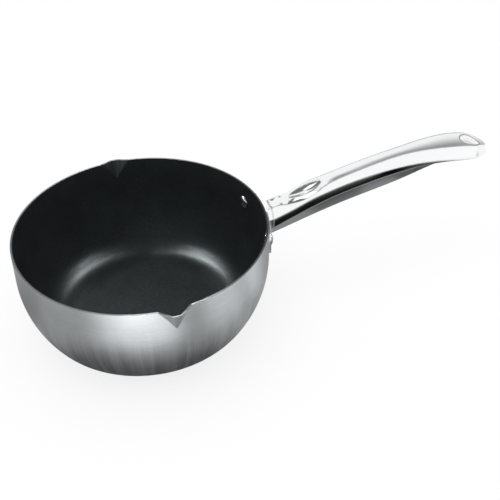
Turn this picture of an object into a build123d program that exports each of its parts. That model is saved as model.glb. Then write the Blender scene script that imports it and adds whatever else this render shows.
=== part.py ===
from build123d import *
from math import cos, radians, sin, sqrt, tan
import os

# Milk pan: a drawn steel bowl with two pinched pouring lips and a dark inside coating,
# and a hollow handle of two pressed shells, welded to a plate that two rivets hold to the wall.
# Millimetres. The origin is the centre of the base underside, +Z is up, +X runs along the handle
# and the two lips point along +Y and -Y.

# Bowl
inside_diameter = 180.0
pan_height = 79.3
pan_sheet = 1.2
coating_thickness = 0.3
rim_radius = inside_diameter / 2 + pan_sheet
base_corner_share = 0.8  # of the rim radius, where base and lower wall would meet unrounded
waist_radius_share = 1.0104  # of the rim radius, where lower and upper wall would meet unrounded
waist_height_share = 0.425  # of the pan height
base_bend_share = 0.4  # of the lower wall that the bend at the base takes up
waist_bend_share = 0.585  # of the lower wall that the bend at the waist takes up

# Pouring lips
lip_width = 21.4
lip_nose_width = 6.4
lip_reach = 5.5
lip_drop = 18.0
lip_dip = 1.45  # how far the rim sinks at the nose
lip_nose_bend = 4.5
lip_flare_bend = 6.0
lip_shoulder = 6.0
lip_bury = 0.8
lip_angles = (90, -90)

# Rivets
rivet_shank_radius = 3.0
rivet_fit = 0.1
rivet_spread_angle = 16.0
rivet_drop = 17.2
inner_head_radius = 6.0
inner_head_height = 2.2
outer_head_radius = 5.0
outer_head_height = 1.8

# Handle plate
plate_thickness = 1.6
ear_radius = 8.5
plate_waist_width = 24.0
plate_waist_height = 31.0
plate_waist_bend = 16.0
plate_bends = (ear_radius, plate_waist_bend, plate_waist_bend, ear_radius) * 2
collar_length = 5.2
collar_flare = 3.0
collar_section_shares = (0, 0.3, 0.6, 1)  # of the collar's run, where its flare is drawn

# Handle
handle_length = 190.0
handle_rise = 20.0
grip_width = 20.6
shell_sheet = 1.0
shell_fit = 0.15
seam_lap = 1.5
shoulder_bend = 2.0
tip_width = 29.5
tip_point = 23.9
tip_lean = 22.5  # of the facet round the tip, from upright
tip_end_share = 0.984  # of the handle length, where the tip's plan outline ends
tip_height_share = 0.465  # of the handle rise, over the rim, where that outline is measured
handle_start = rim_radius + plate_thickness + collar_length

# Thumb dimple
dimple_length = 30.0
dimple_width = 13.4
dimple_depth = 3.2
dimple_place_share = 0.152  # of the handle length
dimple_tilt_share = 0.31  # climb of the dimple's mouth over its run
dimple_height_share = 0.115  # of the handle rise, over the rim

# Hanging hole
hole_radius = 7.5
hole_place_share = 0.905  # of the handle length
hole_height_share = 0.72  # of the handle rise, over the rim
hole_tilt = 14.0
hole_lip = 0.8

# Reach of a cut past the piece that it cuts
overrun = 2.0


# Handle sections from the root to the tip. Columns: place along the handle, then ridge half width,
# ridge edge height, ridge crown, shoulder half width, shoulder height, seam half width, seam height,
# floor half width and floor height. Widths are shares of half the grip width and heights are shares
# of the handle rise, counted from the rim; the crown is the rise of the ridge middle over its edges.
handle_section_shares = (
    (0.000, 0.525, -0.280, -0.015, 0.970, -0.625, 1.00, -1.050, 0.83, -1.300),
    (0.053, 0.600, -0.197, 0.007, 0.980, -0.460, 1.00, -0.850, 0.83, -1.170),
    (0.095, 0.755, -0.165, 0.085, 0.985, -0.315, 1.00, -0.700, 0.83, -1.060),
    (0.137, 0.870, -0.058, 0.100, 0.990, -0.165, 1.00, -0.555, 0.83, -0.950),
    (0.179, 0.835, 0.107, 0.060, 0.990, -0.020, 1.00, -0.415, 0.83, -0.845),
    (0.221, 0.660, 0.280, 0.005, 0.990, 0.100, 1.00, -0.290, 0.83, -0.745),
    (0.263, 0.555, 0.407, -0.018, 0.990, 0.205, 1.00, -0.180, 0.83, -0.650),
    (0.337, 0.520, 0.570, -0.020, 0.990, 0.350, 1.00, -0.025, 0.83, -0.500),
    (0.458, 0.515, 0.790, -0.025, 0.990, 0.500, 1.00, 0.180, 0.83, -0.280),
    (0.589, 0.573, 0.955, -0.035, 1.000, 0.550, 1.01, 0.330, 0.83, -0.020),
    (0.705, 0.805, 1.003, -0.050, 1.180, 0.535, 1.19, 0.435, 0.88, 0.290),
    (0.811, 1.010, 0.957, -0.070, 1.405, 0.465, 1.415, 0.420, 1.15, 0.530),
    (0.905, 1.015, 0.815, -0.080, 1.415, 0.400, 1.425, 0.355, 1.15, 0.475),
    (1.021, 1.015, 0.450, -0.060, 1.415, 0.180, 1.425, 0.135, 1.15, 0.220),
)


# Outline helpers

def inset_points(points, amount):
    """Corners of an open outline after each of its sides has moved to the left by an amount."""
    corners = [Vector(*point) for point in points]
    sides = [(after - before).normalized() for before, after in zip(corners, corners[1:])]
    lefts = [Vector(-side.Y, side.X) for side in sides]
    moved = [corners[0] + lefts[0] * amount]
    for corner, left_before, left_after in zip(corners[1:-1], lefts, lefts[1:]):
        moved.append(corner + (left_before + left_after) * (amount / (1 + left_before.dot(left_after))))
    moved.append(corners[-1] + lefts[-1] * amount)
    return moved


def bend_radius(before, corner, after, tangent_length):
    """Radius of the round that starts a given length away from a corner between two lines."""
    turn = (Vector(*corner) - Vector(*before)).get_angle(Vector(*after) - Vector(*corner))
    return tangent_length / tan(radians(turn) / 2)


# Bowl

bowl_corners = (
    (0, 0),
    (rim_radius * base_corner_share, 0),
    (rim_radius * waist_radius_share, pan_height * waist_height_share),
    (rim_radius, pan_height),
)
lower_wall = (Vector(*bowl_corners[2]) - Vector(*bowl_corners[1])).length
base_bend = bend_radius(*bowl_corners[0:3], lower_wall * base_bend_share)
waist_bend = bend_radius(*bowl_corners[1:4], lower_wall * waist_bend_share)


def wall_radius(height, inset=0):
    """Radius of the upper wall at a height, moved in from the outside by an inset."""
    (waist_x, waist_z), (rim_x, rim_z) = bowl_corners[2:4]
    return waist_x + (rim_x - waist_x) * (height - waist_z) / (rim_z - waist_z) - inset


def bowl_block(inset):
    """The bowl as a filled body, its surface moved in by an inset and its wall run on past the rim."""
    corners = inset_points(bowl_corners, inset)
    corners[-1] += (corners[-1] - corners[-2]).normalized() * overrun
    with BuildPart() as block:
        with BuildSketch(Plane.XZ):
            with BuildLine():
                FilletPolyline(*corners, radius=(base_bend - inset, waist_bend - inset))
                Polyline(corners[-1], (0, corners[-1].Y), corners[0])
            make_face()
        revolve(axis=Axis.Z)
    return block.part


def lip_block(inset, angle):
    """One pouring lip as a filled body: a pinched nose at the rim that dies out down the wall."""
    half, nose, foot = lip_width / 2, lip_nose_width / 2, lip_width / 2 + lip_shoulder
    rim_line = [sqrt(rim_radius**2 - along**2) for along in (half, foot)]
    outline = (
        (foot, rim_line[1]),
        (half, rim_line[0]),
        (nose, rim_radius + lip_reach),
        (-nose, rim_radius + lip_reach),
        (-half, rim_line[0]),
        (-foot, rim_line[1]),
    )
    corners = inset_points(outline, inset)
    inner_line = rim_radius - inset - lip_shoulder
    bends = (lip_flare_bend + inset, lip_nose_bend - inset, lip_nose_bend - inset, lip_flare_bend + inset)
    turned = Plane.XY.rotated((0, 0, angle - 90))
    root_radius = wall_radius(pan_height - lip_drop, inset + lip_bury)
    root = turned.from_local_coords(Vector(0, root_radius, pan_height - lip_drop))
    with BuildPart() as block:
        with BuildSketch(turned.offset(pan_height)) as mouth:
            with BuildLine():
                FilletPolyline(*corners, radius=bends)
                Polyline(corners[-1], (-foot, inner_line), (foot, inner_line), corners[0])
            make_face()
        extrude(amount=overrun)
        loft(sections=[mouth.sketch.face(), Vertex(root)])
    return block.part


def lip_dip_block(angle):
    """Shallow scoop over one pouring lip, along which its rim sinks to the nose."""
    half = lip_width / 2
    outward = Vector(cos(radians(angle)), sin(radians(angle)), 0)
    origin = outward * (rim_radius - lip_shoulder) + Vector(0, 0, pan_height)
    with BuildPart() as scoop:
        with BuildSketch(Plane(origin=origin, x_dir=Vector(0, 0, 1).cross(outward), z_dir=outward)):
            with BuildLine():
                ThreePointArc((-half, 0), (0, -lip_dip), (half, 0))
                Polyline((half, 0), (half, overrun), (-half, overrun), (-half, 0))
            make_face()
        extrude(amount=lip_shoulder + lip_reach + overrun)
    return scoop.part


def lipped_block(inset):
    """The bowl and both lips as one filled body."""
    with BuildPart() as block:
        add(bowl_block(inset))
        for angle in lip_angles:
            add(lip_block(inset, angle))
    return block.part


# Rivets: both lie across the wall, either side of the handle

rivet_height = pan_height - rivet_drop
rivet_angles = (rivet_spread_angle, -rivet_spread_angle)


def rivet_plane(angle, distance):
    """Plane square to a rivet, at a distance from the pan's axis, facing out."""
    outward = Vector(cos(radians(angle)), sin(radians(angle)), 0)
    return Plane(origin=outward * distance + Vector(0, 0, rivet_height), x_dir=(0, 0, 1), z_dir=outward)


def rivet_cutter():
    """Both rivet holes, long enough to pass through coating, wall and plate."""
    reach = inner_head_height + overrun
    with BuildPart() as cutter:
        for angle in rivet_angles:
            with BuildSketch(rivet_plane(angle, wall_radius(rivet_height) - reach)):
                Circle(rivet_shank_radius + rivet_fit)
            extrude(amount=reach + plate_thickness + overrun)
    return cutter.part


def shell_between(outer, inner, top):
    """What lies between two filled bodies, cut off level at the rim and drilled for the rivets."""
    with BuildPart() as shell:
        add(outer)
        add(inner, mode=Mode.SUBTRACT)
        split(bisect_by=Plane.XY.offset(top), keep=Keep.BOTTOM)
        for angle in lip_angles:
            add(lip_dip_block(angle), mode=Mode.SUBTRACT)
        add(rivet_cutter(), mode=Mode.SUBTRACT)
    return shell.part


with BuildPart() as pan_body:
    add(shell_between(lipped_block(0), lipped_block(pan_sheet), pan_height))

with BuildPart() as nonstick_coating:
    add(shell_between(lipped_block(pan_sheet), lipped_block(pan_sheet + coating_thickness), pan_height))


def head_block(angle, seat, radius, height, outward):
    """A domed rivet head with its flat at a seat radius from the pan's axis."""
    dome_radius = (radius**2 + height**2) / (2 * height)
    plane = rivet_plane(angle, seat)
    if not outward:
        plane = Plane(origin=plane.origin, x_dir=plane.x_dir, z_dir=-plane.z_dir)
    with BuildPart() as head:
        with BuildSketch(Plane(origin=plane.origin, x_dir=plane.x_dir, z_dir=-plane.y_dir)):
            with BuildLine():
                Polyline((0, height), (0, -overrun), (radius, -overrun), (radius, 0))
                RadiusArc((radius, 0), (0, height), -dome_radius)
            make_face()
        revolve(axis=Axis(plane.origin, plane.z_dir))
    return head.part


def rivet(angle):
    """One rivet: domed head on the coating, shank through the wall, low head on the plate."""
    inner_seat = wall_radius(rivet_height, pan_sheet + coating_thickness)
    outer_seat = wall_radius(rivet_height, -plate_thickness)
    with BuildPart() as inner_head:
        add(head_block(angle, inner_seat, inner_head_radius, inner_head_height, False))
        add(bowl_block(pan_sheet + coating_thickness), mode=Mode.INTERSECT)
    with BuildPart() as outer_head:
        add(head_block(angle, outer_seat, outer_head_radius, outer_head_height, True))
        add(bowl_block(-plate_thickness), mode=Mode.SUBTRACT)
    with BuildPart() as whole:
        add(inner_head.part)
        add(outer_head.part)
        with BuildSketch(rivet_plane(angle, inner_seat - inner_head_height / 2)):
            Circle(rivet_shank_radius)
        extrude(amount=outer_seat - inner_seat + (inner_head_height + outer_head_height) / 2)
    return whole.part


with BuildPart() as handle_rivets:
    for rivet_angle in rivet_angles:
        add(rivet(rivet_angle))


# Handle sections

def station(row):
    """Real sizes of one handle section: its place, then half widths and heights in turn."""
    along, ridge, ridge_z, crown, shoulder, shoulder_z, seam, seam_z, floor, floor_z = row
    half = grip_width / 2
    return {
        "x": handle_start + along * handle_length,
        "ridge": (ridge * half, pan_height + ridge_z * handle_rise),
        "crown": crown * handle_rise,
        "shoulder": (shoulder * half, pan_height + shoulder_z * handle_rise),
        "seam": (seam * half, pan_height + seam_z * handle_rise),
        "floor": (floor * half, pan_height + floor_z * handle_rise),
    }


stations = [station(row) for row in handle_section_shares]


def upper_curves(place, inset):
    """Right side, ridge and left side of a section, moved in by an inset, as curve points."""
    ridge_middle = (0, place["ridge"][1])
    side = inset_points((place["seam"], place["shoulder"], place["ridge"], ridge_middle), inset)[:3]
    (ridge_x, ridge_z) = side[-1].X, side[-1].Y
    ridge = [(ridge_x, ridge_z), (0, ridge_z + place["crown"]), (-ridge_x, ridge_z)]
    return side, ridge, [Vector(-point.X, point.Y) for point in reversed(side)]


def underside(far_edge, near_edge, drop):
    """Line that closes a section between its two seam edges, run down by a drop first for a cut."""
    if not drop:
        return far_edge, near_edge
    down = Vector(0, -drop)
    return far_edge, far_edge + down, near_edge + down, near_edge


def upper_block(inset, drop=0):
    """The upper part of the handle as a filled body, its open underside a drop below the seam."""
    with BuildPart() as block:
        for place in stations:
            with BuildSketch(Plane.YZ.offset(place["x"])):
                with BuildLine():
                    side, ridge, far_side = upper_curves(place, inset)
                    FilletPolyline(*side, radius=shoulder_bend - inset)
                    Spline(*ridge)
                    FilletPolyline(*far_side, radius=shoulder_bend - inset)
                    Polyline(*underside(far_side[-1], side[0], drop))
                make_face()
        loft()
    return block.part


def tip_prism(inset):
    """Plan outline of the handle with its pointed round tip, as a leaning prism to trim pieces with."""
    tip_start = handle_start + handle_length * tip_end_share - tip_point
    level = pan_height + handle_rise * tip_height_share
    with BuildPart() as prism:
        for height in (0, pan_height + handle_rise * 3 / 2):
            run = inset / cos(radians(tip_lean)) + (height - level) * tan(radians(tip_lean))
            half = tip_width / 2 - run
            with BuildSketch(Plane.XY.offset(height)):
                with BuildLine():
                    EllipticalCenterArc((tip_start, 0), tip_point - run, half, start_angle=-90, arc_size=180)
                    Polyline((tip_start, half), (rim_radius, half), (rim_radius, -half), (tip_start, -half))
                make_face()
        loft(ruled=True)
    return prism.part


def dimple_block(inset):
    """Spindle that presses the thumb dimple, grown by an inset for the underside of the sheet."""
    across = (dimple_width**2 / 4 + dimple_depth**2) / (2 * dimple_depth)
    along = (dimple_length**2 / 4 + dimple_depth**2) / (2 * dimple_depth)
    half = dimple_length / 2
    centre = Vector(handle_start + handle_length * dimple_place_share, 0,
                    pan_height + handle_rise * dimple_height_share)
    climb = Vector(1, 0, dimple_tilt_share).normalized()
    plane = Plane(origin=centre, x_dir=climb, z_dir=(0, -1, 0))
    axis_height = across - dimple_depth
    sag = along - sqrt(along**2 - half**2)
    with BuildPart() as spindle:
        with BuildSketch(plane):
            with BuildLine():
                ThreePointArc((-half, sag - dimple_depth - inset), (0, -dimple_depth - inset),
                              (half, sag - dimple_depth - inset))
                Polyline((half, sag - dimple_depth - inset), (half, axis_height), (-half, axis_height),
                         (-half, sag - dimple_depth - inset))
            make_face()
        revolve(axis=Axis(plane.from_local_coords(Vector(0, axis_height, 0)), climb))
    return spindle.part


# Lower shell: a pressed plate whose middle hangs below the seam at the root and stands above it at the tip

def lower_outline(place, thickness):
    """Outer or inner line of the lower shell's section, from one lap edge to the other."""
    seam_x, seam_z = place["seam"]
    floor_x, floor_z = place["floor"]
    lap_x = seam_x - shell_sheet - shell_fit
    line = ((lap_x, seam_z + seam_lap), (floor_x, floor_z), (-floor_x, floor_z), (-lap_x, seam_z + seam_lap))
    return inset_points(line, -thickness)


def lower_block():
    """The lower shell as a bent plate, before its tip is trimmed."""
    with BuildPart() as block:
        for place in stations:
            outer = lower_outline(place, 0)
            inner = lower_outline(place, shell_sheet)
            with BuildSketch(Plane.YZ.offset(place["x"])):
                with BuildLine():
                    Polyline(*outer, *reversed(inner), close=True)
                make_face()
        loft()
    return block.part


# Hanging hole: a lip on the upper shell turns down to the lower one

hole_axis = Vector(sin(radians(hole_tilt)), 0, cos(radians(hole_tilt)))
hole_centre = Vector(handle_start + handle_length * hole_place_share, 0,
                     pan_height + handle_rise * hole_height_share)


def hole_cutter(radius):
    """Cylinder on the hole's axis, long enough to pass through the whole handle."""
    with BuildPart() as cutter:
        with BuildSketch(Plane(origin=hole_centre, z_dir=hole_axis)):
            Circle(radius)
        extrude(amount=handle_rise, both=True)
    return cutter.part


with BuildPart() as handle_lower_shell:
    add(lower_block())
    add(upper_block(shell_sheet + shell_fit, handle_rise), mode=Mode.INTERSECT)
    add(tip_prism(shell_sheet + shell_fit), mode=Mode.INTERSECT)
    add(hole_cutter(hole_radius), mode=Mode.SUBTRACT)


# Upper shell

with BuildPart() as upper_outside:
    add(upper_block(0))
    add(tip_prism(0), mode=Mode.INTERSECT)
    add(dimple_block(0), mode=Mode.SUBTRACT)

with BuildPart() as upper_cavity:
    add(upper_block(shell_sheet, overrun))
    add(tip_prism(shell_sheet), mode=Mode.INTERSECT)
    add(dimple_block(shell_sheet), mode=Mode.SUBTRACT)

with BuildPart() as hole_collar:
    add(hole_cutter(hole_radius + hole_lip))
    add(upper_outside.part, mode=Mode.INTERSECT)
    add(lower_block(), mode=Mode.SUBTRACT)

with BuildPart() as handle_upper_shell:
    add(upper_outside.part)
    add(upper_cavity.part, mode=Mode.SUBTRACT)
    add(hole_collar.part.solids().sort_by(Axis.Z)[-1])
    add(hole_cutter(hole_radius), mode=Mode.SUBTRACT)


# Handle plate with its collar

def plate_outline():
    """Front view of the plate: a tall middle that narrows to an ear round each rivet."""
    ear_end = wall_radius(rivet_height) * sin(radians(rivet_spread_angle)) + ear_radius
    upper = (
        (ear_end, ear_radius),
        (plate_waist_width / 2, plate_waist_height / 2),
        (-plate_waist_width / 2, plate_waist_height / 2),
        (-ear_end, ear_radius),
    )
    lower = [(across, -up) for across, up in reversed(upper)]
    return [(across, rivet_height + up) for across, up in (*upper, *lower)]


def collar_outline(inset):
    """Closed outline of the handle's root end, moved in by an inset, as curve points."""
    root = stations[0]
    side, ridge, far_side = upper_curves(root, inset)
    floor_x, floor_z = root["floor"]
    floor = (floor_x - inset, floor_z + inset)
    return side, ridge, far_side, (far_side[-1], (-floor[0], floor[1]), floor, side[0])


def collar_block(inset, start):
    """The flared collar as a filled body, moved in by an inset, from a start distance to the shells."""
    whole_run = handle_start - rim_radius
    with BuildPart() as block:
        for share in collar_section_shares:
            distance = start + (handle_start - start) * share
            flare = collar_flare * ((handle_start - distance) / whole_run) ** 2
            with BuildSketch(Plane.YZ.offset(distance)):
                with BuildLine():
                    side, ridge, far_side, floor = collar_outline(inset - flare)
                    FilletPolyline(*side, radius=shoulder_bend - inset + flare)
                    Spline(*ridge)
                    FilletPolyline(*far_side, radius=shoulder_bend - inset + flare)
                    Polyline(*floor)
                make_face()
        loft()
    return block.part


with BuildPart() as handle_bracket:
    with BuildSketch(Plane.YZ):
        with BuildLine():
            FilletPolyline(*plate_outline(), radius=plate_bends, close=True)
        make_face()
    extrude(amount=rim_radius * 2)
    add(bowl_block(-plate_thickness), mode=Mode.INTERSECT)
    add(collar_block(0, rim_radius))
    add(collar_block(shell_sheet, rim_radius + plate_thickness), mode=Mode.SUBTRACT)
    add(bowl_block(0), mode=Mode.SUBTRACT)
    add(rivet_cutter(), mode=Mode.SUBTRACT)


pieces = {
    "pan_body": pan_body,
    "nonstick_coating": nonstick_coating,
    "handle_rivets": handle_rivets,
    "handle_bracket": handle_bracket,
    "handle_upper_shell": handle_upper_shell,
    "handle_lower_shell": handle_lower_shell,
}

os.makedirs("parts", exist_ok=True)
for piece_name, piece in pieces.items():
    piece.part.label = piece_name
    export_step(piece.part, f"parts/{piece_name}.step")
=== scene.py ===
import bpy
from math import cos, radians, sin
from mathutils import Matrix, Vector


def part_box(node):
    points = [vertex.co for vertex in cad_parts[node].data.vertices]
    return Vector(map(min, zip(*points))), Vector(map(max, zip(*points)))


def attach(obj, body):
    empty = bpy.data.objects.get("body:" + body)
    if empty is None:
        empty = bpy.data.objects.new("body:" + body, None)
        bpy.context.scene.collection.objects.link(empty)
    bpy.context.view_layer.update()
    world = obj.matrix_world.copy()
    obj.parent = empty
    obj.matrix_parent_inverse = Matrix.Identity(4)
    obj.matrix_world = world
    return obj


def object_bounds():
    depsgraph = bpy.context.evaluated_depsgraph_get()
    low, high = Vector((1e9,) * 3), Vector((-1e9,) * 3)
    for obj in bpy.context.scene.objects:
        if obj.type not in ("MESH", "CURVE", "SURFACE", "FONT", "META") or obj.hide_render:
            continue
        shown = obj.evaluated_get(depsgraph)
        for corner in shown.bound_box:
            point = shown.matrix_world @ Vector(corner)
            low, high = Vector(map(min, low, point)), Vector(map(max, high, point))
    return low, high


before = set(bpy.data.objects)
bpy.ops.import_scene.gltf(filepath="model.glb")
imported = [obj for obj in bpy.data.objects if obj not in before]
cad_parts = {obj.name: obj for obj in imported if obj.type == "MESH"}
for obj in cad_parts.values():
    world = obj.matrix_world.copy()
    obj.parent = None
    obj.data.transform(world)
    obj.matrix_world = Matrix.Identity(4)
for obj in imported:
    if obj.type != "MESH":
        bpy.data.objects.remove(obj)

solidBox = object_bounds()  # the solids' own box, taken before any piece is added
print("pan frame loaded:", sorted(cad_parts))

plainWhite = (1, 1, 1, 1)


# small helpers for node work

def feed(tree, node, inputs):
    # links a socket, or writes a plain value
    for key, value in inputs.items():
        if isinstance(value, bpy.types.NodeSocket):
            tree.links.new(value, node.inputs[key])
        else:
            node.inputs[key].default_value = value


def addNode(tree, kind, inputs=None, **settings):
    node = tree.nodes.new(kind)
    for key, value in settings.items():
        setattr(node, key, value)
    feed(tree, node, inputs or {})
    return node


def mathNode(tree, operation, first, second=0.0, third=None):
    inputs = {0: first, 1: second}
    if third is not None:
        inputs[2] = third
    return addNode(tree, "ShaderNodeMath", inputs, operation=operation).outputs[0]


def vectorNode(tree, operation, first, second=None, scale=None, output="Vector"):
    inputs = {0: first}
    if second is not None:
        inputs[1] = second
    if scale is not None:
        inputs["Scale"] = scale
    return addNode(tree, "ShaderNodeVectorMath", inputs, operation=operation).outputs[output]


def newFinish(name):
    finish = bpy.data.materials.new(name)
    finish.use_nodes = True
    tree = finish.node_tree
    shader = tree.nodes["Principled BSDF"]
    return finish, tree, shader


def objectPlace(tree):
    return addNode(tree, "ShaderNodeTexCoord").outputs["Object"]


def split(tree, vector):
    return addNode(tree, "ShaderNodeSeparateXYZ", {0: vector}).outputs


def ramp(tree, factor, stops):
    node = addNode(tree, "ShaderNodeValToRGB", {"Fac": factor})
    for element, (place, shade) in zip(node.color_ramp.elements, stops):
        element.position = place
        element.color = (*shade, 1)
    return node.outputs["Color"]


def shades(look):
    # the two ends of a finish's tone: a noise level, and the share of the tint there
    return [(level, tuple(min(1, part * share) for part in look["tint"][:3])) for level, share in look["toneStops"]]


def noise(tree, vector, scale, look):
    inputs = {"Vector": vector, "Scale": scale, "Detail": look["detail"], "Roughness": look.get("rough", 0.5)}
    return addNode(tree, "ShaderNodeTexNoise", inputs).outputs["Fac"]


def evenNoise(tree, look):
    return noise(tree, objectPlace(tree), look["perMetre"], look)


def stretchedNoise(tree, look):
    stretched = addNode(tree, "ShaderNodeMapping", {"Vector": objectPlace(tree), "Scale": look["perMetre"]})
    return noise(tree, stretched.outputs[0], 1.0, look)


def spunNoise(tree, look):
    # runs in circles round the pan's axis: angle, radius and height, each stretched
    parts = split(tree, objectPlace(tree))
    angle = mathNode(tree, "ARCTAN2", parts["Y"], parts["X"])
    radius = mathNode(tree, "SQRT", mathNode(tree, "ADD", mathNode(tree, "MULTIPLY", parts["X"], parts["X"]),
                                             mathNode(tree, "MULTIPLY", parts["Y"], parts["Y"])))
    spun = addNode(tree, "ShaderNodeCombineXYZ", {
        0: mathNode(tree, "MULTIPLY", angle, look["perRadian"]),
        1: mathNode(tree, "MULTIPLY", radius, look["perMetre"]),
        2: mathNode(tree, "MULTIPLY", parts["Z"], look["perMetre"])}).outputs[0]
    return noise(tree, spun, 1.0, look)


def bump(tree, strength, distance, height, normal=None):
    inputs = {"Strength": strength, "Distance": distance, "Height": height}
    if normal is not None:
        inputs["Normal"] = normal
    return addNode(tree, "ShaderNodeBump", inputs).outputs[0]


def softEdge(tree, look):
    return addNode(tree, "ShaderNodeBevel", {"Radius": look["edgeRound"]}, samples=look["edgeSamples"]).outputs[0]


def spread(tree, value, low, high):
    # turns a 0 to 1 noise into a range
    return addNode(tree, "ShaderNodeMapRange", {0: value, 3: low, 4: high}).outputs[0]


def swing(tree, value, share):
    # turns a 0 to 1 noise into plus or minus that share
    return mathNode(tree, "MULTIPLY", mathNode(tree, "SUBTRACT", value, 0.5), 2 * share)


def softStep(tree, value, low, high):
    # 0 below low, 1 above high, smooth between; low may be the larger one
    return addNode(tree, "ShaderNodeMapRange", {0: value, 1: low, 2: high},
                   interpolation_type="SMOOTHSTEP").outputs[0]


# outside of the bowl: spun and brushed steel

bowlSteel = {
    "tint": (0.605, 0.63, 0.645, 1),
    "toneStops": ((0.3, 0.88), (0.7, 1.08)),
    "roughness": (0.30, 0.38),
    "brushPull": 0.8,         # how far highlights stretch across the brush lines
    "brushTurn": 0.25,        # a quarter turn
    "lines": {"perRadian": 3.0, "perMetre": 5200, "detail": 3.0, "rough": 0.6},
    "lineDepth": 0.10,
    "lineHeight": 0.0001,
    "lineWear": 0.6,          # share of the lines in the roughness; the worn patches have the rest
    "patches": {"perRadian": 14.0, "perMetre": 260.0, "detail": 2.0},
    "highlightStreaks": {"perRadian": 15.0, "perMetre": 4.0, "detail": 4.0, "rough": 0.7},
    "streakTop": 0.066,       # painted highlight streaks run up the bowl to about this height
    "streakFull": 0.3,        # and have their full strength below this share of it
    "streakEdge": (0.34, 0.66),
    "highlightStreakShare": 0.22,
    "clouds": {"perMetre": 38.0, "detail": 3.0},
    "cloudShare": 0.16,
    "grit": {"perRadian": 25.0, "perMetre": 1500.0, "detail": 1.0},
    "gritShare": 0.06,        # fine uneven brushing, about a millimetre across
    "edgeRound": 0.00035,
    "edgeSamples": 4,
}


def brushedSteel(name, look):
    finish, tree, shader = newFinish(name)
    lines, patches, highlightStreaks, grit = (spunNoise(tree, look[key]) for key in ("lines", "patches", "highlightStreaks", "grit"))
    clouds = evenNoise(tree, look["clouds"])
    wear = mathNode(tree, "ADD", mathNode(tree, "MULTIPLY", lines, look["lineWear"]),
                    mathNode(tree, "MULTIPLY", patches, 1 - look["lineWear"]))
    height = split(tree, objectPlace(tree))["Z"]
    # lighter and darker streaks painted into the steel's tone low on the bowl: painted highlights that stand in for
    # the streaky reflections of the brushed finish
    lowDown = softStep(tree, height, look["streakTop"], look["streakFull"] * look["streakTop"])
    paintedStreak = spread(tree, softStep(tree, highlightStreaks, *look["streakEdge"]), -1, 1)
    paintedStreak = mathNode(tree, "MULTIPLY", paintedStreak, mathNode(tree, "MULTIPLY", lowDown, look["highlightStreakShare"]))
    # scale of the tone: random grit and clouds, and the painted highlight streaks
    light = mathNode(tree, "ADD", mathNode(tree, "ADD", 1.0, swing(tree, grit, look["gritShare"])),
                     mathNode(tree, "ADD", paintedStreak, swing(tree, clouds, look["cloudShare"])))
    around = addNode(tree, "ShaderNodeTangent", direction_type="RADIAL", axis="Z").outputs[0]
    feed(tree, shader, {
        "Base Color": vectorNode(tree, "SCALE", ramp(tree, lines, shades(look)), scale=light),
        "Metallic": 1.0,
        "Roughness": spread(tree, wear, *look["roughness"]),
        "Anisotropic": look["brushPull"],
        "Anisotropic Rotation": look["brushTurn"],
        "Tangent": around,
        "Normal": bump(tree, look["lineDepth"], look["lineHeight"], lines, softEdge(tree, look))})
    return finish


# inside of the bowl: matte dark coating with a fine grain

bowlCoating = {
    "tint": (0.0145, 0.0169, 0.0182, 1),
    "toneStops": ((0.3, 0.8), (0.75, 1.5)),
    "roughness": (0.30, 0.34),
    "gloss": (0.14, 0.76),    # differs from grain to grain, so that the highlight sparkles
    "glossTint": (0.88, 0.98, 1.0, 1),
    "sparkles": {"perMetre": 1000, "detail": 1.0},
    "grain": {"perMetre": 2300, "detail": 2.0},
    "grainDepth": 0.2,
    "grainHeight": 0.0001,
    "flecksPerMetre": 1265,   # coarser bumps under the grain
    "fleckHeight": 0.0002,
    "clouds": {"perMetre": 60.0, "detail": 3.0},
    "cloudShare": 0.5,        # share of the clouds in the tone; the grain has the rest
}


def darkCoating(name, look):
    finish, tree, shader = newFinish(name)
    grain, clouds, sparkles = (evenNoise(tree, look[key]) for key in ("grain", "clouds", "sparkles"))
    flecks = addNode(tree, "ShaderNodeTexVoronoi", {"Vector": objectPlace(tree), "Scale": look["flecksPerMetre"]})
    tone = mathNode(tree, "ADD", mathNode(tree, "MULTIPLY", grain, 1 - look["cloudShare"]),
                    mathNode(tree, "MULTIPLY", clouds, look["cloudShare"]))
    coarse = bump(tree, look["grainDepth"], look["fleckHeight"], flecks.outputs["Distance"])
    feed(tree, shader, {
        "Base Color": ramp(tree, tone, shades(look)),
        "Roughness": spread(tree, clouds, *look["roughness"]),
        "Specular IOR Level": spread(tree, sparkles, *look["gloss"]),
        "Specular Tint": look["glossTint"],
        "Normal": bump(tree, look["grainDepth"], look["grainHeight"], grain, coarse)})
    return finish


# handle: mirror-polished pressed shells

handlePolish = {
    "tint": (0.80, 0.805, 0.81, 1),
    "toneStops": ((0.3, 0.95), (0.7, 1.0)),
    "roughness": (0.04, 0.09),
    "haze": {"perMetre": (12.0, 60.0, 60.0), "detail": 4.0},   # drawn out along the handle
    "waves": {"perMetre": 70.0, "detail": 1.0},
    "waveDepth": 0.02,
    "waveHeight": 0.001,
    "edgeRound": 0.0016,
    "edgeSamples": 6,
    "hole": {"centre": (0.269425, 0, 0.091593), "along": (0.241922, 0, 0.970296), "radius": 0.0075,
             "wall": (1.01, 1.04),    # frosted up to the first, polished from the second, in hole radii
             # the wall's near-white, barely metallic look is painted light for its bright reflections; its
             # roughness is the frosted cut
             "tint": (0.96, 0.96, 0.96), "roughness": 0.5, "metal": 0.15,
             "rim": (1.03, 1.13),     # painted dark line round the hole, standing in for the shade a rounded edge mirrors, in hole radii
             "rimSoft": (0.98, 1.03), "edgeShadeTone": 0.30},   # where its edges run out, as shares of rim
}


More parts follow.
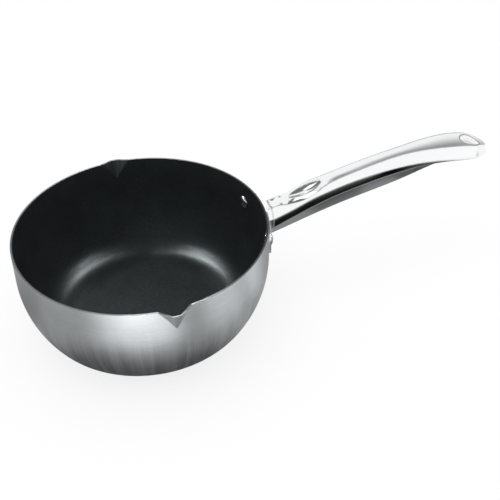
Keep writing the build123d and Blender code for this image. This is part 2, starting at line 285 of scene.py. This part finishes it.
def polishedSteel(name, look):
    finish, tree, shader = newFinish(name)
    haze, waves = stretchedNoise(tree, look["haze"]), evenNoise(tree, look["waves"])

    # the punched hole's wall is frosted, without a polish; its pale, barely metallic tint is painted light,
    # standing in for the bright reflections in the wall
    hole = look["hole"]
    fromHole = vectorNode(tree, "SUBTRACT", objectPlace(tree), hole["centre"])
    fromHole = vectorNode(tree, "CROSS_PRODUCT", fromHole, hole["along"])
    fromHole = vectorNode(tree, "LENGTH", fromHole, output="Value")
    wallEnd, wallStart = (share * hole["radius"] for share in hole["wall"])
    frosted = softStep(tree, fromHole, wallStart, wallEnd)
    paintedPaleWall = ramp(tree, frosted, [(0.0, (0.0, 0.0, 0.0)), (1.0, hole["tint"])])
    tone = vectorNode(tree, "MAXIMUM", ramp(tree, haze, shades(look)), paintedPaleWall)
    # painted shade: a dark line round the hole scales the base colour down, standing in for the dark reflection of
    # a rounded edge
    inner, outer = (share * hole["radius"] for share in hole["rim"])
    rim = mathNode(tree, "MULTIPLY", softStep(tree, fromHole, hole["rimSoft"][0] * inner, inner),
                   softStep(tree, fromHole, hole["rimSoft"][1] * outer, outer))

    polish = spread(tree, haze, *look["roughness"])
    feed(tree, shader, {
        "Base Color": vectorNode(tree, "SCALE", tone, scale=spread(tree, rim, 1.0, hole["edgeShadeTone"])),
        "Metallic": spread(tree, frosted, 1.0, hole["metal"]),
        "Roughness": addNode(tree, "ShaderNodeMix", {0: frosted, 2: polish, 3: hole["roughness"]}).outputs[0],
        "Normal": bump(tree, look["waveDepth"], look["waveHeight"], waves, softEdge(tree, look))})
    return finish


# each node's finish; the duller steels differ from the handle's in tint and polish alone
lowerShellPolish = dict(handlePolish, roughness=(0.08, 0.14), tint=(0.64, 0.67, 0.69, 1))
rivetPolish = dict(handlePolish, roughness=(0.14, 0.24), tint=(0.7, 0.7, 0.71, 1))
handleSteel = polishedSteel("handleSteel", handlePolish)
finishes = {
    "pan_body": brushedSteel("panSteel", bowlSteel),
    "nonstick_coating": darkCoating("nonstickCoating", bowlCoating),
    "handle_upper_shell": handleSteel,
    "handle_bracket": handleSteel,
    "handle_lower_shell": polishedSteel("lowerShellSteel", lowerShellPolish),
    "handle_rivets": polishedSteel("rivetSteel", rivetPolish),
}
for node, finish in finishes.items():
    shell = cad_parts[node]
    shell.data.materials.clear()
    shell.data.materials.append(finish)


# fine ground ledge along both sides of the handle, where the lower shell meets the upper one

seam = {
    "from": 0.106, "to": 0.200,
    "stations": 40,
    "fade": 12,               # the last stations run out to nothing
    "section": ((0.0, 0.00095), (0.00045, 0.00005), (0.0, -0.00010)),   # outward and up from the seam
    "flush": 0.00005,         # the lower shell shows once it stands this much proud
    "looks": 400,             # steps from the pan's top down to the shell's foot
    "edgeRound": 0.00005,
}


def seamPoint(x, look):
    # where a look from the side passes from the upper shell to the lower one
    upper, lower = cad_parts["handle_upper_shell"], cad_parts["handle_lower_shell"]
    top, foot = solidBox[1][2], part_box("handle_lower_shell")[0][2]
    for step in range(look["looks"]):
        z = top + (foot - top) * step / look["looks"]
        above = upper.ray_cast((x, -1, z), (0, 1, 0))
        below = lower.ray_cast((x, -1, z), (0, 1, 0))
        if below[0] and (not above[0] or below[1].y < above[1].y - look["flush"]):
            return Vector((x, below[1].y, z))
    return None


def seamLedge(name, look, side, steel):
    stations = look["stations"]
    reach = look["to"] - look["from"]
    points = [seamPoint(look["from"] + reach * step / stations, look) for step in range(stations + 1)]
    points = [Vector((point.x, -side * point.y, point.z)) for point in points if point]
    vertices, faces = [], []
    corners = len(look["section"])
    for index, point in enumerate(points):
        ahead = (points[min(index + 1, len(points) - 1)] - points[max(index - 1, 0)]).normalized()
        upward = Vector((-ahead.z, 0, ahead.x)).normalized()
        share = min(1, (len(points) - index) / look["fade"])
        vertices += [point + share * (Vector((0, side * out, 0)) + upward * up) for out, up in look["section"]]
        if index:
            here, before = index * corners, (index - 1) * corners
            for corner in range(corners):
                after = (corner + 1) % corners
                faces.append((before + corner, before + after, here + after, here + corner))
    last = (len(points) - 1) * corners
    faces += [tuple(range(corners)), tuple(range(last + corners - 1, last - 1, -1))]
    if side > 0:
        faces = [face[::-1] for face in faces]
    mesh = bpy.data.meshes.new(name)
    mesh.from_pydata(vertices, [], faces)
    mesh.materials.append(steel)
    ledge = bpy.data.objects.new(name, mesh)
    bpy.context.collection.objects.link(ledge)
    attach(ledge, "root")
    return ledge


seamSteel = polishedSteel("seamSteel", dict(handlePolish, edgeRound=seam["edgeRound"]))
seamLedges = [seamLedge("seam_ledge_right", seam, -1, seamSteel), seamLedge("seam_ledge_left", seam, 1, seamSteel)]
print("finishes on every piece, seam ledges along the handle")


# some lights, sheets and cards are mirrored by one group of pieces alone

viewers = {
    "bowl": ("nonstick_coating", "handle_rivets"),
    "bowlSteel": ("pan_body",),
    "bracket": ("handle_bracket",),
    "handle": ("handle_upper_shell", "handle_lower_shell", "handle_bracket"),
}
viewerGroups = {}
for name, nodes in viewers.items():
    viewerGroups[name] = bpy.data.collections.new(name + "Only")
    for node in nodes:
        viewerGroups[name].objects.link(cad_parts[node])
for ledge in seamLedges:
    viewerGroups["handle"].objects.link(ledge)


def flatSheet(name, corners):
    mesh = bpy.data.meshes.new(name)
    mesh.from_pydata(corners, [], [(0, 1, 2, 3)])
    sheet = bpy.data.objects.new(name, mesh)
    bpy.context.collection.objects.link(sheet)
    return sheet


def groundSheet(name, look):
    half = look["half"]
    sheet = flatSheet(name, [(-half, -half, 0), (half, -half, 0), (half, half, 0), (-half, half, 0)])
    sheet.location.z = -look["sink"]
    return sheet


def mirroredOnly(sheet, viewer):
    # only mirrored rays meet the sheet, and only its viewers see it glow
    for ray in ("camera", "diffuse", "shadow", "transmission"):
        setattr(sheet, "visible_" + ray, False)
    sheet.light_linking.receiver_collection = viewerGroups[viewer]


def glowNode(tree, strength):
    return addNode(tree, "ShaderNodeEmission", {"Color": plainWhite, "Strength": strength}).outputs[0]


def clearGlow(tree, strength):
    # glows, and lets what lies behind it through
    clear = addNode(tree, "ShaderNodeBsdfTransparent").outputs[0]
    return addNode(tree, "ShaderNodeAddShader", {0: clear, 1: glowNode(tree, strength)}).outputs[0]


def pool(tree, place, look):
    # soft spot on the floor, drawn out along its own turned x by its half length "along"
    local = addNode(tree, "ShaderNodeMapping", {
        "Vector": place, "Location": (*look["centre"], 0), "Rotation": (0, 0, radians(look.get("turn", 0)))},
        vector_type="TEXTURE").outputs[0]
    local = vectorNode(tree, "ABSOLUTE", local)
    local = vectorNode(tree, "SUBTRACT", local, (look.get("along", 0), 0, 0))
    local = vectorNode(tree, "MAXIMUM", local, (0, 0, 0))
    away = vectorNode(tree, "LENGTH", local, output="Value")
    return softStep(tree, away, look["outer"], look["inner"])


# floor; each pool is painted shade in the floor's mirrored tone, keeping only its share of the mirrored floor, and
# above 1 it is painted light that lightens it

floorLook = {
    "half": 6,
    "sink": 0.0002,           # just below the base, so that the two don't flicker
    "tone": (0.9, 0.9, 0.9, 1),
    "roughness": 0.9,
    "gloss": 0.1,
    "whiteShare": 0.80,       # share of the floor's tone that shadows can't reach
    "mirrored": 1.15,         # how light the far floor is where the steel mirrors it
    "pools": {
        "dimRound": {"centre": (0, 0), "inner": 0.28, "outer": 0.35, "keep": 0.30},
        "underFront": {"centre": (-0.020, -0.055), "along": 0.012,
                       "inner": 0.040, "outer": 0.088, "keep": 0.08},
        "besideHandle": {"centre": (0.235, -0.080), "turn": -11, "along": 0.040,
                         "inner": 0.020, "outer": 0.040, "keep": 0.60},
        "underHandle": {"centre": (0.200, -0.1055), "turn": -13.3, "along": 0.082,
                        "inner": 0.010, "outer": 0.026, "keep": 0.02},
        "underSeam": {"centre": (0.2023, -0.0958), "turn": -13.3, "along": 0.075,
                      "inner": 0.004, "outer": 0.013, "keep": 0.25},
        "underTip": {"centre": (0.305, -0.190), "turn": -55, "along": 0.055,
                     "inner": 0.010, "outer": 0.024, "keep": 0.08},
        "behindTip": {"centre": (0.278, -0.050), "turn": 82, "along": 0.035,
                      "inner": 0.008, "outer": 0.020, "keep": 0.40},
        "besideLeft": {"centre": (-0.140, 0.030), "inner": 0.020, "outer": 0.060, "keep": 0.50},
        "farFront": {"centre": (0.33, -0.62), "turn": -70, "along": 0.33,
                     "inner": 0.10, "outer": 0.16, "keep": 0.35},
        "lowGlow": {"centre": (0.262, -0.080), "turn": -11, "along": 0.030,
                    "inner": 0.006, "outer": 0.020, "keep": 1.8},
    },
}

floor = groundSheet("floor", floorLook)
floorFinish, tree, shader = newFinish("paleFloor")
feed(tree, shader, {"Base Color": floorLook["tone"], "Roughness": floorLook["roughness"],
                    "Specular IOR Level": floorLook["gloss"]})
place = objectPlace(tree)
mirrored = floorLook["mirrored"]
# painted shade and light: the pools darken the mirrored floor round the pan and handle, and lowGlow lightens it
for look in floorLook["pools"].values():
    kept = spread(tree, pool(tree, place, look), 1.0, look["keep"])
    mirrored = mathNode(tree, "MULTIPLY", kept, mirrored)
rays = addNode(tree, "ShaderNodeLightPath").outputs
seenTone = addNode(tree, "ShaderNodeMix", {0: rays["Is Glossy Ray"], 2: 1.0, 3: mirrored}).outputs[0]
share = mathNode(tree, "MAXIMUM", mathNode(tree, "MULTIPLY", rays["Is Camera Ray"], floorLook["whiteShare"]),
                 rays["Is Glossy Ray"])
blend = addNode(tree, "ShaderNodeMixShader", {0: share, 1: shader.outputs[0], 2: glowNode(tree, seenTone)})
feed(tree, tree.nodes["Material Output"], {"Surface": blend.outputs[0]})
floor.data.materials.append(floorFinish)


# light pools on a clear sheet that lies on the floor: only the bowl's steel mirrors them

bowlGlow = {
    "half": 0.9,
    "sink": 0.0001,
    "pools": {
        "frontPool": {"centre": (-0.130, -0.350), "along": 0.03,
                      "inner": 0.10, "outer": 0.225, "strength": 3.2},
        "rightPool": {"centre": (0.160, -0.125), "turn": 50, "along": 0.05,
                      "inner": 0.025, "outer": 0.090, "strength": 0.85},
    },
}

glowSheet = groundSheet("glowSheet", bowlGlow)
glowFinish, tree, shader = newFinish("glowSheet")
tree.nodes.remove(shader)
place = objectPlace(tree)
glow = 0.0
for look in bowlGlow["pools"].values():
    glow = mathNode(tree, "MULTIPLY_ADD", pool(tree, place, look), look["strength"], glow)
feed(tree, tree.nodes["Material Output"], {"Surface": clearGlow(tree, glow)})
glowSheet.data.materials.append(glowFinish)
mirroredOnly(glowSheet, "bowlSteel")


# the world stands for a white studio, as polished and coated surfaces mirror it: bright walls
# in front and at the sides, a faint backdrop behind the pan, and dim light elsewhere.
# azimuths are counted from +x towards +y; heights are sines of the angle above the floor

studio = {
    "dim": 0.20,
    "panels": {
        "backdrop": {"azimuth": 80, "half": 25, "soft": 35,
                     "low": (0.20, 0.55), "high": (0.78, 0.88), "strength": 0.03},
        "sideWalls": {"azimuth": -90, "half": 110, "soft": 30,
                      "low": (-0.10, 0.10), "high": (0.30, 0.50), "strength": 1.1},
    },
    "plainLevel": 1.0,        # what matte surfaces get from all round
}


def panel(tree, direction, look):
    level = vectorNode(tree, "NORMALIZE", vectorNode(tree, "MULTIPLY", direction, (1, 1, 0)))
    aim = (cos(radians(look["azimuth"])), sin(radians(look["azimuth"])), 0)
    facing = vectorNode(tree, "DOT_PRODUCT", level, aim, output="Value")
    across = softStep(tree, facing, cos(radians(look["half"] + look["soft"])), cos(radians(look["half"])))
    height = split(tree, direction)["Z"]
    above = softStep(tree, height, *look["low"])
    below = softStep(tree, height, look["high"][1], look["high"][0])
    return mathNode(tree, "MULTIPLY", across, mathNode(tree, "MULTIPLY", above, below))


world = bpy.data.worlds.new("studioWhite")
bpy.context.scene.world = world
world.use_nodes = True
tree = world.node_tree
direction = addNode(tree, "ShaderNodeTexCoord").outputs["Generated"]
light = studio["dim"]
for look in studio["panels"].values():
    light = mathNode(tree, "MULTIPLY_ADD", panel(tree, direction, look), look["strength"], light)
mirroredSky = addNode(tree, "ShaderNodeBackground", {"Color": plainWhite, "Strength": light}).outputs[0]
plainSky = addNode(tree, "ShaderNodeBackground", {"Color": plainWhite, "Strength": studio["plainLevel"]}).outputs[0]
rays = addNode(tree, "ShaderNodeLightPath").outputs
blend = addNode(tree, "ShaderNodeMixShader", {0: rays["Is Glossy Ray"], 1: plainSky, 2: mirroredSky})
feed(tree, tree.nodes["World Output"], {"Surface": blend.outputs[0]})


# one broad softbox lights everything and casts the shadow. the others stand high behind the
# pan and are only mirrored: four by the coating and rivets, one by the bowl's steel and rim,
# and a weak broad one by the handle

lamps = {
    "overheadSoftbox": {"place": (-0.1, 0.1, 1.1), "aim": (0.05, 0, 0.04), "size": (0.9, 0.7), "power": 3},
    "rightSoftbox": {"azimuth": 26, "height": 60, "size": (0.16, 0.12), "power": 3.6, "seenBy": "bowl"},
    "rightFill": {"azimuth": -8, "height": 52, "size": (0.16, 0.12), "power": 1.8, "seenBy": "bowl"},
    "leftSoftbox": {"azimuth": 119, "height": 60, "size": (0.16, 0.12), "power": 5.2, "seenBy": "bowl"},
    "leftFill": {"azimuth": 153, "height": 57, "size": (0.16, 0.12), "power": 2.5, "seenBy": "bowl"},
    "rimSoftbox": {"azimuth": 72, "height": 62, "size": (0.24, 0.16), "power": 1.3, "seenBy": "bowlSteel"},
    "leftGlint": {"azimuth": 122, "height": 68.5, "size": (0.36, 0.44), "power": 0.80, "seenBy": "handle"},
}
mirroredLamps = {"away": 1.0, "aim": (0, 0, 0.02)}   # metres from the origin, and where they point


def softbox(name, look):
    light = bpy.data.lights.new(name, "AREA")
    light.shape = "RECTANGLE"
    light.size, light.size_y = look["size"]
    light.energy = look["power"]
    lamp = bpy.data.objects.new(name, light)
    if "seenBy" in look:
        turn, height = radians(look["azimuth"]), radians(look["height"])
        direction = Vector((cos(height) * cos(turn), cos(height) * sin(turn), sin(height)))
        lamp.location, aim = mirroredLamps["away"] * direction, mirroredLamps["aim"]
        lamp.light_linking.receiver_collection = viewerGroups[look["seenBy"]]
        lamp.visible_diffuse = False
    else:
        lamp.location, aim = look["place"], look["aim"]
        lamp.visible_glossy = False
    lamp.rotation_euler = (Vector(aim) - lamp.location).to_track_quat("-Z", "Y").to_euler()
    bpy.context.collection.objects.link(lamp)
    return lamp


for name, look in lamps.items():
    softbox(name, look)


# white cards that only the handle and its bracket mirror, and one for the bracket alone.
# the broad card behind the handle is dimmer below fadeAt

cards = {
    "cardByHandle": {"x": (-0.02, 0.72), "y": -0.30, "z": (0.11, 0.64), "tone": 1.2},
    "cardBehindHandle": {
        "x": (0.09, 0.80), "y": 0.25, "z": (0.02, 0.56), "tone": 1.15,
        "fadeAt": 0.27, "fadeFrom": 0.15, "fadeSpread": (0.03, 0.35),   # softer with every metre past fadeFrom
        "low": (0.24, 0.36), "lowBend": (0.15, 0.36),   # tone of the lower part, from one x to another
        "tipTone": 0.62, "tipFrom": (0.42, 0.66),       # and what it gains towards the tip
    },
    "smallCardBehind": {"x": (0.100, 0.145), "y": 0.245, "z": (0.04, 0.27), "tone": 1.15},
    "highCardBehind": {"x": (0.03, 0.09), "y": 0.25, "z": (0.42, 0.60), "tone": 1.15},
    "bracketCard": {"x": (0.10, 0.45), "y": 0.24, "z": (0.07, 0.45), "tone": 0.85, "seenBy": "bracket"},
    "lowCardBehind": {"x": (0.145, 0.172), "y": 0.245, "z": (0.04, 0.215), "tone": 1.15},
}


def fadedTone(tree, look):
    parts = split(tree, objectPlace(tree))
    nearest, growth = look["fadeSpread"]
    soft = mathNode(tree, "MULTIPLY_ADD", mathNode(tree, "SUBTRACT", parts["X"], look["fadeFrom"]), growth, nearest)
    above = mathNode(tree, "DIVIDE", mathNode(tree, "SUBTRACT", parts["Z"], look["fadeAt"]), soft)
    low = spread(tree, softStep(tree, parts["X"], *look["lowBend"]), *look["low"])
    low = mathNode(tree, "MULTIPLY_ADD", softStep(tree, parts["X"], *look["tipFrom"]), look["tipTone"], low)
    return spread(tree, softStep(tree, above, -1, 1), low, look["tone"])


def card(name, look):
    (left, right), y, (foot, top) = look["x"], look["y"], look["z"]
    board = flatSheet(name, [(left, y, foot), (right, y, foot), (right, y, top), (left, y, top)])
    finish, tree, shader = newFinish(name)
    tree.nodes.remove(shader)
    tone = fadedTone(tree, look) if "fadeAt" in look else look["tone"]
    glow = clearGlow(tree, tone) if "seenBy" in look else glowNode(tree, tone)
    feed(tree, tree.nodes["Material Output"], {"Surface": glow})
    board.data.materials.append(finish)
    mirroredOnly(board, look.get("seenBy", "handle"))
    return board


for name, look in cards.items():
    card(name, look)
print("floor, cards and studio light set")


# camera at the photographed angle

view = {
    "place": (-0.075385, -0.434642, 0.412718),
    "turn": -20.0, "tilt": 54.412, "roll": -0.157,
    "lens": 55.09, "shiftUp": -0.1,
    "sensor": 36.0, "nearest": 0.01,
}
cameraData = bpy.data.cameras.new("camera")
cameraData.sensor_width = view["sensor"]
cameraData.lens = view["lens"]
cameraData.shift_y = view["shiftUp"]
cameraData.clip_start = view["nearest"]
camera = bpy.data.objects.new("camera", cameraData)
bpy.context.collection.objects.link(camera)
camera.matrix_world = (Matrix.Translation(view["place"])
                       @ Matrix.Rotation(radians(view["turn"]), 4, "Z")
                       @ Matrix.Rotation(radians(view["tilt"]), 4, "X")
                       @ Matrix.Rotation(radians(view["roll"]), 4, "Z"))
bpy.context.scene.camera = camera
bpy.context.scene.view_settings.view_transform = "Standard"
print("camera set")
